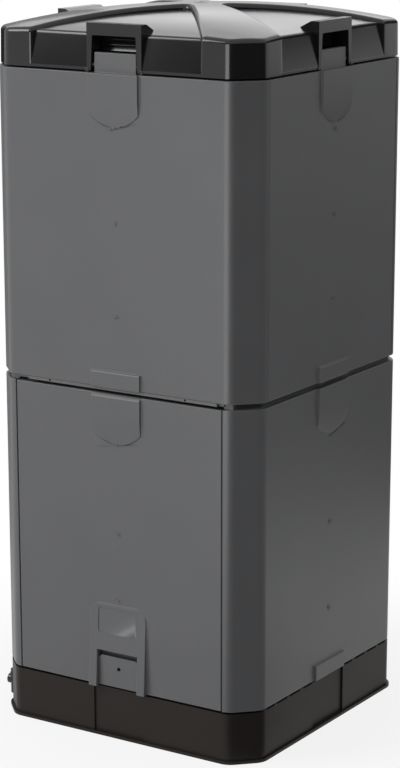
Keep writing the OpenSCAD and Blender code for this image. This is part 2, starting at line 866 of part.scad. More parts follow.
module tap_body() {
  color(lid_black) tap_place() difference() {
    union() {
      // barrel, through the tank wall and the nut behind it
      translate([-tap_face - tap_len, 0, 0]) rotate([0, 90, 0])
        cylinder(r = tap_r, h = tap_len + tap_face - tank_in + nut_t + 2, $fn = 48);
      translate([-tap_face - flange_t, 0, 0]) rotate([0, 90, 0])
        cylinder(r = tap_r + 7, h = flange_t, $fn = 48);
      translate([-spout_x, 0, spout_z0 - tap_z]) cylinder(r = tap_r - 2, h = tap_z - spout_z0, $fn = 48);
      translate([-spout_x, 0, 0]) cylinder(r = tap_r - 1, h = tap_r + 3, $fn = 48);
    }
    translate([-spout_x, 0, 0]) rotate([0, 90, 0]) cylinder(r = tap_bore, h = 2 * tap_len, $fn = 32);
    translate([-spout_x, 0, -tap_z]) cylinder(r = tap_bore, h = tap_z, $fn = 32);
    translate([-spout_x, 0, 0]) cylinder(r = lever_r + pin_clear, h = tap_r + 4, $fn = 32);
  }
}

module tap_washer() {
  color(seal_black) tap_place() translate([-tap_face, 0, 0]) rotate([0, 90, 0]) difference() {
    cylinder(r = tap_r + 6, h = tap_face - half_w, $fn = 48);
    translate([0, 0, -eps]) cylinder(r = tap_r + 0.1, h = 4 * eps, $fn = 48);
  }
}

module tap_nut() {
  color(lid_black) tap_place() translate([-tank_in, 0, 0]) rotate([0, 90, 0]) difference() {
    cylinder(r = tap_r + 7, h = nut_t, $fn = 6);
    translate([0, 0, -eps]) cylinder(r = tap_r + 0.1, h = nut_t + 2 * eps, $fn = 48);
  }
}

module tap_lever() {
  color(lid_black) tap_place() translate([-spout_x, 0, 0]) {
    translate([0, 0, tap_r - 3]) cylinder(r = lever_r, h = lever_z - tap_r + 5, $fn = 32);
    translate([0, 0, lever_z]) cylinder(r = tap_r - 2, h = 6, $fn = 32);
    translate([-4, 0, lever_z]) cube([8, lever_len, 5]);
    translate([0, lever_len, lever_z]) cylinder(r = 4, h = 5, $fn = 32);
  }
}

// Placing: everything above is drawn at the front and turned to its side
module at_front() {
  children();
}

module at_right() {
  rotate(90) children();
}

module at_rear() {
  rotate(180) children();
}

module at_left() {
  rotate(270) children();
}

module upper_corner_shell() {
  color(panel_grey) {
    corner_shell(up_z0, up_z1);
    catch_tab();
  }
}

module upper_flat_shell() {
  color(panel_grey) {
    flat_shell(up_z0, up_z1, flat_half, flat_dots);
    low_boss(up_z0);
    catch_tab();
  }
}

base_tank();
base_deck();
base_grate();
color(panel_grey) at_left() lower_side_shell();  // lower_left_shell
color(foam_white) at_left() lower_side_foam();  // lower_left_foam
color(liner_black) at_left() liner(half_w - shell_d, low_z0, low_z1);  // lower_left_liner
color(panel_grey) at_right() lower_side_shell();  // lower_right_shell
color(foam_white) at_right() lower_side_foam();  // lower_right_foam
color(liner_black) at_right() liner(half_w - shell_d, low_z0, low_z1);  // lower_right_liner
color(panel_grey) at_front() lintel();  // front_lintel
color(panel_grey) at_rear() lintel();  // rear_lintel
color(steel_grey) for (a = [0, 180]) rotate(a) lintel_screw_pair();  // lintel_screws
at_front() upper_corner_shell();  // upper_front_shell
color(foam_white) at_front() corner_foam(up_z0, up_z1);  // upper_front_foam
color(liner_black) at_front() liner(half_w - shell_d, up_z0, up_z1);  // upper_front_liner
at_rear() upper_corner_shell();  // upper_rear_shell
color(foam_white) at_rear() corner_foam(up_z0, up_z1);  // upper_rear_foam
color(liner_black) at_rear() liner(half_w - shell_d, up_z0, up_z1);  // upper_rear_liner
at_left() upper_flat_shell();  // upper_left_shell
color(foam_white) at_left() flat_foam(up_z0, up_z1, flat_half);  // upper_left_foam
color(liner_black) at_left() liner(chamber_half, up_z0, up_z1);  // upper_left_liner
at_right() upper_flat_shell();  // upper_right_shell
color(foam_white) at_right() flat_foam(up_z0, up_z1, flat_half);  // upper_right_foam
color(liner_black) at_right() liner(chamber_half, up_z0, up_z1);  // upper_right_liner
air_core_lower();
air_core_upper();
air_core_cap();
tap_body();
tap_washer();
tap_nut();
tap_lever();
color(panel_grey) at_front() door_shell();  // front_door_shell
color(foam_white) at_front() door_foam();  // front_door_foam
color(liner_black) at_front() liner(door_half, door_z0, door_z1);  // front_door_liner
color(steel_grey) at_front() door_pins();  // front_door_pins
color(panel_grey) at_front() latch_plate();  // front_latch
color(panel_grey) at_front() latch_bolt();  // front_latch_bolt
color(panel_grey) at_rear() door_shell();  // rear_door_shell
color(foam_white) at_rear() door_foam();  // rear_door_foam
color(liner_black) at_rear() liner(door_half, door_z0, door_z1);  // rear_door_liner
color(steel_grey) at_rear() door_pins();  // rear_door_pins
color(panel_grey) at_rear() latch_plate();  // rear_latch
color(panel_grey) at_rear() latch_bolt();  // rear_latch_bolt
lid_shell();
lid_foam();
lid_liner();
lid_seal();
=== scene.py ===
# %% [markdown]
# # A two-stage insulated compost bin
#
# The object is a square plastic tower with flattened corners: a low brown
# tank, two stages of grey double-wall panels and a glossy black lid. The
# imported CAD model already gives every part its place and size, so this lesson
# adds what makes it look real: soft moulded edges, plastics with grain and
# small marks, and the light of a photo studio.

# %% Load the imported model
import bmesh
import bpy
import json
import math
from mathutils import Matrix, Vector
from mathutils.geometry import delaunay_2d_cdt


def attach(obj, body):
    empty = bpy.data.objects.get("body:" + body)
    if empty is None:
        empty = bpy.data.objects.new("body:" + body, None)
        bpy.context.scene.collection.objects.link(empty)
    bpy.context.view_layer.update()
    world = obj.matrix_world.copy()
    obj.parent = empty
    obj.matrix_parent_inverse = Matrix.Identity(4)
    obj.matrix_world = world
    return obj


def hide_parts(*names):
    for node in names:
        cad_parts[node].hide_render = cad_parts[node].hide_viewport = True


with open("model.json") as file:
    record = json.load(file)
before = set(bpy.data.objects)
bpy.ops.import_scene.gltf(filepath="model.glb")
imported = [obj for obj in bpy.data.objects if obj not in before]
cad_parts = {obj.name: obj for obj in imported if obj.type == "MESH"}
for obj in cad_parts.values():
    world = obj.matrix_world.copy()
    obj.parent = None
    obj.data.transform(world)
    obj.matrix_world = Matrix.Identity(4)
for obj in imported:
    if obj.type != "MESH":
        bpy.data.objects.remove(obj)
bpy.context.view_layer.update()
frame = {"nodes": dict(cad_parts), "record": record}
nodes = frame["nodes"]
body_of = {n: b for b, names in frame["record"]["behaviour"]["bodies"].items() for n in names}


# %% Put an object into the scene
def place_object(name, data):
    made = bpy.data.objects.new(name, data)
    bpy.context.scene.collection.objects.link(made)
    return made


# %% [markdown]
# ## Camera
#
# The photograph was taken from a little above the lid with a long lens. Its
# place was found by fitting a camera to corner points of the bin, which gives
# the angles below. The long lens keeps the upright edges nearly parallel, and
# a small shift frames the tower without tilting the camera.

# %% Set up the camera
middle, lid_middle = Vector((0, 0, 0.6)), Vector((0, 0, 1.1))
eye = Vector((2.1472, -3.3334, 1.4770))
yaw, pitch, roll = 0.5846, 0.2600, -0.0036
forward = Vector((-math.sin(yaw) * math.cos(pitch), math.cos(yaw) * math.cos(pitch),
                  -math.sin(pitch)))
right = Vector((math.cos(yaw), math.sin(yaw), 0))
up = right.cross(forward)
right, up = (math.cos(roll) * right + math.sin(roll) * up,
             math.cos(roll) * up - math.sin(roll) * right)

lens = bpy.data.cameras.new("camera")
lens.lens = 114.2
lens.sensor_width = 36
lens.shift_x = 0.0357
lens.shift_y = 0.0958
camera = place_object("camera", lens)
turned = Matrix((right, up, -forward)).transposed().to_4x4()
camera.matrix_world = Matrix.Translation(eye) @ turned
bpy.context.scene.camera = camera
bpy.context.scene.view_settings.view_transform = "Standard"
print("camera", round((eye - middle).length, 2), "m from the middle of the bin")

# %% [markdown]
# ## Light
#
# The front of the bin is brighter than its right side. So the main softbox
# stands in front on the left, and a weak one lights the right side. A softbox
# behind the bin and one high over its rear draw the pale reflections on the
# lid. A sun lamp would be simpler, but area lamps give the soft shadow and the
# broad reflections of a studio.

# %% Softboxes
def softbox(name, place, aim, size, power, tint=(1, 1, 1)):
    lamp = bpy.data.lights.new(name, "AREA")
    lamp.shape = "RECTANGLE"
    lamp.size, lamp.size_y = size
    lamp.energy = power
    lamp.color = tint
    lamp_object = place_object(name, lamp)
    lamp_object.location = place
    direction = aim - Vector(place)
    lamp_object.rotation_euler = direction.to_track_quat("-Z", "Y").to_euler()
    print(name, power, "W at", place)


softbox("key_softbox", (-2.6, -2.6, 2.9), middle, (1.8, 1.8), 82)
softbox("side_softbox", (3.2, 1.3, 1.7), middle, (1.2, 2.0), 2.5)
softbox("back_softbox", (-2.2, 3.4, 1.9), lid_middle, (3.6, 1.6), 6)
softbox("ceiling_softbox", (-1.9, 2.9, 3.7), lid_middle, (3.6, 3.6), 20, (1, 0.985, 1))

# %% [markdown]
# ## Reflections
#
# Dark glossy plastic shows the room as much as its own colour. A photographer
# sets black and white boards round such an object. Here they are cards that
# only reflections see: they cast no shadow and give no light to matt faces.
# Black ones lie on the floor and stand round the bin, where its front, its
# right side and the flattened corner mirror the room. A bright strip on the
# left draws the line of light down the near edge, and a dim one behind the
# bin lifts the lid.

# %% Cards that only reflections see
def card(name, corners, glow=0):
    mesh = bpy.data.meshes.new(name)
    mesh.from_pydata(corners, [], [tuple(range(len(corners)))])
    paint = bpy.data.materials.new(name)
    paint.use_nodes = True
    shader = paint.node_tree.nodes["Principled BSDF"]
    shader.inputs["Base Color"].default_value = (0.01, 0.01, 0.01, 1)
    shader.inputs["Emission Color"].default_value = (1, 1, 1, 1)
    shader.inputs["Emission Strength"].default_value = glow
    mesh.materials.append(paint)
    piece = place_object(name, mesh)
    piece.visible_camera = False
    piece.visible_diffuse = False
    piece.visible_shadow = False


def around(azimuth, distance, height):
    """A place given by its angle and distance from the middle of the bin."""
    angle = math.radians(azimuth)
    return (distance * math.cos(angle), distance * math.sin(angle), height)


def lying_card(name, near, far, height=0.004, glow=0):
    """A fan on the floor, from the distance near out to the (azimuth, distance) pairs."""
    ends = [around(far[0][0], near, height)], [around(far[-1][0], near, height)]
    card(name, ends[0] + [around(a, d, height) for a, d in far] + ends[1], glow)


def standing_card(name, start, end, foot, top, distance=6, glow=0):
    card(name, [around(start, distance, foot), around(start, distance, top),
                around(end, distance, top), around(end, distance, foot)], glow)


# %% Set the cards round the bin
lying_card("floor_card", 0.5, [(-78, 9), (-30, 12), (20, 9)])
lying_card("floor_card_right", 1.7, [(20, 9), (60, 11), (95, 9)])
bent = [(90, 6), (125, 7), (160, 6)]
card("back_card", [around(90, 6, 1.12)] + [around(a, d, 2.3) for a, d in bent]
     + [around(160, 6, 1.12), around(125, 7, 1.12)], glow=0.4)
standing_card("edge_card", -104, -79, 0.02, 1.3, distance=3, glow=5)
lying_card("edge_floor_card", 1.7, [(-104, 3), (-79, 3)], height=0.005, glow=3)
lying_card("floor_card_left", 0.5, [(128, 9), (165, 9)])
walls = ((-145, -85, 1.5, 3.4), (-85, -45, 0, 3), (-45, 25, 0, 3), (25, 95, 1.5, 3.4),
         (128, 165, 0, 3))
for start, end, foot, top in walls:
    standing_card("wall_card", start, end, foot, top)
print(6 + len(walls), "cards")


# %% Helpers for node trees
def add(tree, kind, **settings):
    node = tree.nodes.new(kind)
    for key, value in settings.items():
        setattr(node, key, value)
    return node


def wire(tree, source, target):
    tree.links.new(source, target)


def seen_directly(tree):
    """1 for camera, glossy and transmission rays, 0 for the rays that light other things."""
    rays = add(tree, "ShaderNodeLightPath")
    two = add(tree, "ShaderNodeMath", operation="MAXIMUM")
    three = add(tree, "ShaderNodeMath", operation="MAXIMUM")
    wire(tree, rays.outputs["Is Camera Ray"], two.inputs[0])
    wire(tree, rays.outputs["Is Glossy Ray"], two.inputs[1])
    wire(tree, two.outputs[0], three.inputs[0])
    wire(tree, rays.outputs["Is Transmission Ray"], three.inputs[1])
    return three.outputs[0]


# %% [markdown]
# ## World and floor
#
# The photograph's ground is white. Enough light to turn the world and the
# floor white would bleach the bin, so they are white only to the rays that
# look at them, and dimmer to the rays that carry light. Near the bin the floor
# keeps a share of its real shading, which is where the soft shadow shows.

# %% World
world = bpy.data.worlds.new("studio")
bpy.context.scene.world = world
world.use_nodes = True
tree = world.node_tree
background = tree.nodes["Background"]
background.inputs["Color"].default_value = (1, 1, 1, 1)
level = add(tree, "ShaderNodeMapRange")
level.inputs["To Min"].default_value = 0.29
level.inputs["To Max"].default_value = 1.0
wire(tree, seen_directly(tree), level.inputs["Value"])
wire(tree, level.outputs["Result"], background.inputs["Strength"])
print("world lights at", round(level.inputs["To Min"].default_value, 2))

# %% Floor
bpy.ops.mesh.primitive_plane_add(size=60, location=(0, 0, 0))
floor = bpy.context.object
floor.name = "floor"
paper = bpy.data.materials.new("paper_floor")
paper.use_nodes = True
tree = paper.node_tree
matte = tree.nodes["Principled BSDF"]
matte.inputs["Base Color"].default_value = (0.93, 0.93, 0.93, 1)
matte.inputs["Roughness"].default_value = 0.9
matte.inputs["Specular IOR Level"].default_value = 0.1
white = add(tree, "ShaderNodeEmission")
fade = add(tree, "ShaderNodeMixShader")
spot = add(tree, "ShaderNodeTexCoord")
distance = add(tree, "ShaderNodeVectorMath", operation="LENGTH")
reach = add(tree, "ShaderNodeMapRange", interpolation_type="SMOOTHSTEP")
reach.inputs["From Min"].default_value = 0.3
reach.inputs["From Max"].default_value = 0.9
reach.inputs["To Min"].default_value = 0.85
share = add(tree, "ShaderNodeMath", operation="MULTIPLY")
wire(tree, spot.outputs["Object"], distance.inputs[0])
wire(tree, distance.outputs["Value"], reach.inputs["Value"])
wire(tree, reach.outputs["Result"], share.inputs[0])
wire(tree, seen_directly(tree), share.inputs[1])
wire(tree, share.outputs[0], fade.inputs["Fac"])
wire(tree, matte.outputs["BSDF"], fade.inputs[1])
wire(tree, white.outputs["Emission"], fade.inputs[2])
wire(tree, fade.outputs["Shader"], tree.nodes["Material Output"].inputs["Surface"])
floor.data.materials.append(paper)
print("floor", round(floor.dimensions.x), "m wide")

# %% [markdown]
# ## Finishes
#
# Every part is injection moulded. Its colour is even, but the surface isn't:
# a fine grain scatters the light, the walls sink a little between their ribs,
# and handling leaves pale scuffs. These effects are shader groups, so each
# plastic uses them with its own strength.

# %% Start a shader group
def new_group(name, inputs, outputs):
    group = bpy.data.node_groups.new(name, "ShaderNodeTree")
    for label, value in inputs:
        socket = group.interface.new_socket(label, in_out="INPUT", socket_type="NodeSocketFloat")
        socket.default_value = value
    for label in outputs:
        group.interface.new_socket(label, in_out="OUTPUT", socket_type="NodeSocketFloat")
    return group, add(group, "NodeGroupInput"), add(group, "NodeGroupOutput")


# %% Moulded surface: grain and sink marks
moulded, given, result = new_group(
    "moulded_surface", [("Grain", 0.1), ("Grain Size", 1800.0), ("Sink", 0.2), ("Sink Size", 9.0)],
    ["Height", "Cloud"])
place = add(moulded, "ShaderNodeTexCoord")
grain = add(moulded, "ShaderNodeTexNoise", noise_dimensions="3D")
grain.inputs["Detail"].default_value = 2
sink = add(moulded, "ShaderNodeTexNoise", noise_dimensions="3D")
sink.inputs["Detail"].default_value = 3
sink.inputs["Roughness"].default_value = 0.4
grain_part = add(moulded, "ShaderNodeMath", operation="MULTIPLY")
sink_part = add(moulded, "ShaderNodeMath", operation="MULTIPLY_ADD")
wire(moulded, place.outputs["Object"], grain.inputs["Vector"])
wire(moulded, place.outputs["Object"], sink.inputs["Vector"])
wire(moulded, given.outputs["Grain Size"], grain.inputs["Scale"])
wire(moulded, given.outputs["Sink Size"], sink.inputs["Scale"])
wire(moulded, grain.outputs["Fac"], grain_part.inputs[0])
wire(moulded, given.outputs["Grain"], grain_part.inputs[1])
wire(moulded, sink.outputs["Fac"], sink_part.inputs[0])
wire(moulded, given.outputs["Sink"], sink_part.inputs[1])
wire(moulded, grain_part.outputs[0], sink_part.inputs[2])
wire(moulded, sink_part.outputs[0], result.inputs["Height"])
wire(moulded, sink.outputs["Fac"], result.inputs["Cloud"])
print(moulded.name, len(moulded.nodes), "nodes")

# %% Scuffs: sparse pale specks and short scratches
scuffs, given, result = new_group("scuffs", [("Amount", 0.5), ("Size", 60.0)], ["Mask"])
place = add(scuffs, "ShaderNodeTexCoord")
stretch = add(scuffs, "ShaderNodeMapping")
stretch.inputs["Scale"].default_value = (1.0, 1.0, 0.35)
stretch.inputs["Rotation"].default_value = (0.5, 0.35, 0)
specks = add(scuffs, "ShaderNodeTexNoise", noise_dimensions="3D")
specks.inputs["Detail"].default_value = 4
specks.inputs["Roughness"].default_value = 0.7
patches = add(scuffs, "ShaderNodeTexNoise", noise_dimensions="3D")
patches.inputs["Scale"].default_value = 5.5
pick = add(scuffs, "ShaderNodeMapRange")
pick.inputs["From Min"].default_value = 0.66
pick.inputs["From Max"].default_value = 0.8
where = add(scuffs, "ShaderNodeMapRange")
where.inputs["From Min"].default_value = 0.5
where.inputs["From Max"].default_value = 0.68
both = add(scuffs, "ShaderNodeMath", operation="MULTIPLY")
amount = add(scuffs, "ShaderNodeMath", operation="MULTIPLY", use_clamp=True)
wire(scuffs, place.outputs["Object"], stretch.inputs["Vector"])
wire(scuffs, stretch.outputs["Vector"], specks.inputs["Vector"])
wire(scuffs, given.outputs["Size"], specks.inputs["Scale"])
wire(scuffs, place.outputs["Object"], patches.inputs["Vector"])
wire(scuffs, specks.outputs["Fac"], pick.inputs["Value"])
wire(scuffs, patches.outputs["Fac"], where.inputs["Value"])
wire(scuffs, pick.outputs["Result"], both.inputs[0])
wire(scuffs, where.outputs["Result"], both.inputs[1])
wire(scuffs, both.outputs[0], amount.inputs[0])
wire(scuffs, given.outputs["Amount"], amount.inputs[1])
wire(scuffs, amount.outputs[0], result.inputs["Mask"])
print(scuffs.name, len(scuffs.nodes), "nodes")


# %% Build a plastic from the effects
def plastic(name, color, rough, grain=0.1, sink=0.2, scuff=0.4, scuff_and_highlight_color=None,
            specular=0.5, edge=0.0):
    cloud = 0.06
    material = bpy.data.materials.new(name)
    material.use_nodes = True
    tree = material.node_tree
    shader = tree.nodes["Principled BSDF"]
    shader.inputs["Specular IOR Level"].default_value = specular
    surface = add(tree, "ShaderNodeGroup", node_tree=moulded)
    surface.inputs["Grain"].default_value = grain
    surface.inputs["Sink"].default_value = sink
    marks = add(tree, "ShaderNodeGroup", node_tree=scuffs)
    marks.inputs["Amount"].default_value = scuff
    tone = add(tree, "ShaderNodeMix", data_type="RGBA")
    tone.inputs["A"].default_value = (*[c * (1 - cloud) for c in color], 1)
    tone.inputs["B"].default_value = (*[min(1, c * (1 + cloud)) for c in color], 1)
    # Pale scuffs, and on the bevel faces a paler tone that is partly rub wear and partly a painted
    # highlight along the edges.
    scuffs_and_edge_highlight = add(tree, "ShaderNodeMix", data_type="RGBA")
    pale = scuff_and_highlight_color or [min(1, c * 1.6 + 0.03) for c in color]
    scuffs_and_edge_highlight.inputs["B"].default_value = (*pale, 1)
    edges = add(tree, "ShaderNodeAttribute", attribute_name="edge")
    edge_mask = add(tree, "ShaderNodeMath", operation="MULTIPLY_ADD", use_clamp=True)
    edge_mask.inputs[1].default_value = edge
    roughness = add(tree, "ShaderNodeMapRange")
    roughness.inputs["To Min"].default_value = rough - 0.04
    roughness.inputs["To Max"].default_value = rough + 0.05
    relief = add(tree, "ShaderNodeBump")
    relief.inputs["Distance"].default_value = 0.0004
    relief.inputs["Strength"].default_value = 1.0
    wire(tree, surface.outputs["Cloud"], tone.inputs["Factor"])
    wire(tree, tone.outputs["Result"], scuffs_and_edge_highlight.inputs["A"])
    wire(tree, edges.outputs["Fac"], edge_mask.inputs[0])
    wire(tree, marks.outputs["Mask"], edge_mask.inputs[2])
    wire(tree, edge_mask.outputs[0], scuffs_and_edge_highlight.inputs["Factor"])
    wire(tree, scuffs_and_edge_highlight.outputs["Result"], shader.inputs["Base Color"])
    wire(tree, surface.outputs["Cloud"], roughness.inputs["Value"])
    wire(tree, roughness.outputs["Result"], shader.inputs["Roughness"])
    wire(tree, surface.outputs["Height"], relief.inputs["Height"])
    wire(tree, relief.outputs["Normal"], shader.inputs["Normal"])
    print(name, "made")
    return material


# %% The finishes of this bin
panel_grey = plastic("panel_grey", (0.128, 0.130, 0.135), 0.42, edge=0.25)
lid_black = plastic("lid_black", (0.0155, 0.0145, 0.0165), 0.16, grain=0.02, sink=0.5,
                    scuff=0.15, scuff_and_highlight_color=(0.06, 0.06, 0.06), specular=0.42)
base_brown = plastic("base_brown", (0.024, 0.019, 0.0165), 0.45, scuff=0.8,
                     scuff_and_highlight_color=(0.09, 0.085, 0.08), specular=0.17)
liner_black = plastic("liner_black", (0.02, 0.02, 0.021), 0.5)
strip_grey = plastic("strip_grey", (0.14, 0.14, 0.14), 0.4)
bead_foam = plastic("bead_foam", (0.75, 0.74, 0.70), 0.8, scuff=0)
rubber = plastic("rubber", (0.015, 0.015, 0.015), 0.7, scuff=0)
steel = plastic("steel", (0.45, 0.46, 0.47), 0.35, scuff=0.1)
steel.node_tree.nodes["Principled BSDF"].inputs["Metallic"].default_value = 1.0


# %% Give every part its finish
def choose_finish(name):
    if name.endswith("foam"):
        return bead_foam
    if name in ("base_tank", "base_deck"):
        return base_brown
    if name.endswith("lintel"):
        return strip_grey
    if name.endswith(("screws", "pins")):
        return steel
    if name in ("tap_washer", "lid_seal"):
        return rubber
    if name.startswith(("lid_shell", "tap")):
        return lid_black
    if name.endswith("liner") or name.startswith("air_core") or name == "base_grate":
        return liner_black
    return panel_grey


finish_of = {name: choose_finish(name) for name in nodes}
for name, part in nodes.items():
    part.data.materials.clear()
    part.data.materials.append(finish_of[name])
print(len(finish_of), "parts in", len(set(finish_of.values())), "finishes")

# %% [markdown]
# ## Soft moulded edges
#
# A mould can't make a perfectly sharp edge, and a sharp edge catches no
# light. The outer shells are therefore copied, their loose triangles are
# joined into whole faces, and a narrow bevel rounds every hard edge. The
# bevel's own faces are marked in an attribute, so that the plastic can be
# painted a little paler there: partly wear where edges rub, partly a painted
# highlight along the edges. Weighted normals then let the big flat faces
# rule the shading, so that the narrow ones blend into them.

# %% Smooth the shading of a piece and keep it as a plain mesh
def plain_mesh(piece):
    """The mesh of an object with its modifiers applied."""
    return bpy.data.meshes.new_from_object(
        piece.evaluated_get(bpy.context.evaluated_depsgraph_get()))


def even_shading(piece):
    piece.data.shade_smooth()
    piece.data.set_sharp_from_angle(angle=math.radians(32))
    even = piece.modifiers.new("even_normals", "WEIGHTED_NORMAL")
    even.keep_sharp = True
    even.weight = 60
    piece.data = plain_mesh(piece)
    piece.modifiers.clear()


# %% Round the hard edges of a part
def rounded_copy(name, width):
    weld, flat, hard_angle, shortest = 0.00001, 0.5, 30, 0.002
    shape = bmesh.new()
    shape.from_mesh(nodes[name].data)
    bmesh.ops.remove_doubles(shape, verts=shape.verts, dist=weld)
    bmesh.ops.dissolve_limit(shape, angle_limit=math.radians(flat), verts=shape.verts,
                             edges=shape.edges, delimit={"NORMAL"})
    # The bevel faces are marked for the paler paint: partly rub wear, partly a painted edge
    # highlight.
    mark = shape.faces.layers.float.new("edge")
    hard = [edge for edge in shape.edges if len(edge.link_faces) == 2
            and edge.calc_face_angle(0) >= math.radians(hard_angle)
            and edge.calc_length() >= shortest]
    made = bmesh.ops.bevel(shape, geom=hard, offset=width, offset_type="OFFSET", segments=2,
                           profile=0.5, affect="EDGES", clamp_overlap=False,
                           miter_outer="SHARP", miter_inner="SHARP")
    for face in made["faces"]:
        face[mark] = 1.0
    bmesh.ops.triangulate(shape, faces=[f for f in shape.faces if len(f.verts) > 4])
    mesh = bpy.data.meshes.new(name + "_moulded")
    shape.to_mesh(mesh)
    shape.free()
    print(name, len(hard), "edges rounded,", len(mesh.polygons), "faces")
    return mesh


# %% [markdown]
# The lower stage carries a tongue that stands in the gap under the upper
# stage. The gap reads as one black line, so the tongue's upright faces get
# the liner's black: painted shade for the shadow deep in the gap.

# %% The panels, and the tongue in the gap between the stages, painted black as shade
gap_foot, gap_top = 0.5821, 0.5915
panel_edge, latch_edge = 0.0013, 0.0008
for name in ("upper_front_shell", "upper_rear_shell", "upper_left_shell", "upper_right_shell",
             "lower_left_shell", "lower_right_shell", "front_door_shell", "rear_door_shell",
             "front_latch", "rear_latch"):
    mesh = rounded_copy(name, latch_edge if name.endswith("latch") else panel_edge)
    piece = place_object(name + "_moulded", mesh)
    mesh.materials.append(finish_of[name])
    # Painted shade: the tongue's upright faces in the gap get the liner's black.
    if name.startswith("lower"):
        mesh.materials.append(liner_black)
        for face in mesh.polygons:
            if gap_foot < face.center.z < gap_top and abs(face.normal.z) < 0.5:
                face.material_index = 1
    even_shading(piece)
    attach(piece, body_of[name])
    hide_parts(name)

# %% [markdown]
# ## The lid
#
# The lid is one glossy moulding: a low body whose skirt leans in, four broad
# domed ridges that run from the corner blocks to a flat boss, and a housing in
# the middle of each side with a window for the catch. Gloss shows every
# facet, so the low body is lofted: the plan of the bin is drawn once, with its
# corners rounded, and shrunk ring by ring up a profile.

# %% Sizes of the lid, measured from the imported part
lid_z0, skirt_z1, peak_z = 1.089, 1.147, 1.179
lid_half, corner_at, edge_round = 0.248, 0.3233, 0.024
lean, rise = 0.009, peak_z - skirt_z1
housing_z, housing_half, back_in = 1.162, 0.051, 0.219
wall, hair, rim_out, hollow = 0.003, 0.0002, 0.0008, 0.0045
print("lid from", lid_z0, "to", peak_z, "m, half width", lid_half)


# %% Plan of the bin with rounded corners
def quarter(x, y, turn):
    """A place turned about the middle by quarter turns."""
    a = math.pi / 2 * turn
    return x * math.cos(a) - y * math.sin(a), x * math.sin(a) + y * math.cos(a)


def plan_ring(half, corner, radius, steps=5):
    """The square with flattened corners, anticlockwise, with an arc at both ends of each."""
    inner, inner_corner = half - radius, corner - radius
    other = inner_corner * math.sqrt(2) - inner
    points = []
    for turn in range(4):
        for centre, start in (((inner, other), 0), ((other, inner), 45)):
            for i in range(steps + 1):
                angle = math.radians(start + 45 * i / steps)
                points.append(quarter(centre[0] + radius * math.cos(angle),
                                      centre[1] + radius * math.sin(angle), turn))
    return points


def filled(points, spacing=0.02):
    """Adds points along the long straight runs, so that the faces stay small."""
    result = []
    for i, (x, y) in enumerate(points):
        nx, ny = points[(i + 1) % len(points)]
        count = max(1, round(math.hypot(nx - x, ny - y) / spacing))
        result += [(x + (nx - x) * k / count, y + (ny - y) * k / count) for k in range(count)]
    return result


# %% Loft a plan up a profile of (inset, height) pairs
def join_rings(shape, rings):
    for low_ring, high_ring in zip(rings, rings[1:]):
        for i in range(len(low_ring)):
            j = (i + 1) % len(low_ring)
            shape.faces.new((low_ring[i], low_ring[j], high_ring[j], high_ring[i]))


def loft(points, profile, half):
    shape = bmesh.new()
    rings = []
    for inset, z in profile:
        scale = 1 - inset / half
        rings.append([shape.verts.new((x * scale, y * scale, z)) for x, y in points])
    join_rings(shape, rings)
    shape.faces.new(rings[0][::-1])
    shape.faces.new(rings[-1])
    bmesh.ops.recalc_face_normals(shape, faces=shape.faces)
    return shape


def open_edges(shape):
    return sum(1 for edge in shape.edges if len(edge.link_faces) != 2)


# %% The dome of the ridges
def dome(share):
    """Height of the dome, 0 at the rim and 1 in the middle, for a share of the way in."""
    return 1 - (1 - share) ** 2.2


def ridge_height(x, y):
    """Height of the ridges: facets of the plan near the rim, blended into a round dome."""
    reach = [abs(v) for v in (x / lid_half, y / lid_half, (x + y) / math.sqrt(2) / corner_at,
                              (x - y) / math.sqrt(2) / corner_at)]
    power = 4 + 12 * min(1, max(reach)) ** 3
    spread = (sum(v ** power for v in reach) / (1 + 2 * 0.92 ** power)) ** (1 / power)
    return skirt_z1 + (rise - 0.0004) * dome(max(0.0, 1 - spread))


# %% The low body: rim, leaning skirt, soft shoulder and the roof sunk between the ridges
outline = filled(plan_ring(lid_half, corner_at, edge_round))
shoulder = 0.006
profile = [(wall, lid_z0 + hollow), (wall, lid_z0 + hair), (hair, lid_z0 + hair),
           (hair, lid_z0 + 0.004), (rim_out, lid_z0 + 0.0046)]
profile += [(lean + shoulder * 0.8 * (1 - math.cos(math.radians(t))),
             skirt_z1 - shoulder + shoulder * math.sin(math.radians(t)))
            for t in (0, 20, 40, 60, 78)]
profile += [(0.016, skirt_z1 + 0.0004)]
profile += [(lid_half * share, skirt_z1 + rise * (dome(share) - 0.1 - 0.22 * share))
            for share in (0.12, 0.17, 0.23, 0.3, 0.38, 0.47, 0.57, 0.68, 0.8)]
low = loft(outline, profile, lid_half)
print("low body", len(low.faces), "faces, open edges:", open_edges(low))


# %% [markdown]
# The ridges form one star-shaped plate. They could be four separate arms, but
# gloss would show the joints in the middle. So the outline of the whole star
# is drawn in plan: four corner blocks, joined by arms round four pockets. The
# outline is rolled over at the rim by small insets and then filled with a net
# of triangles that follow the dome.

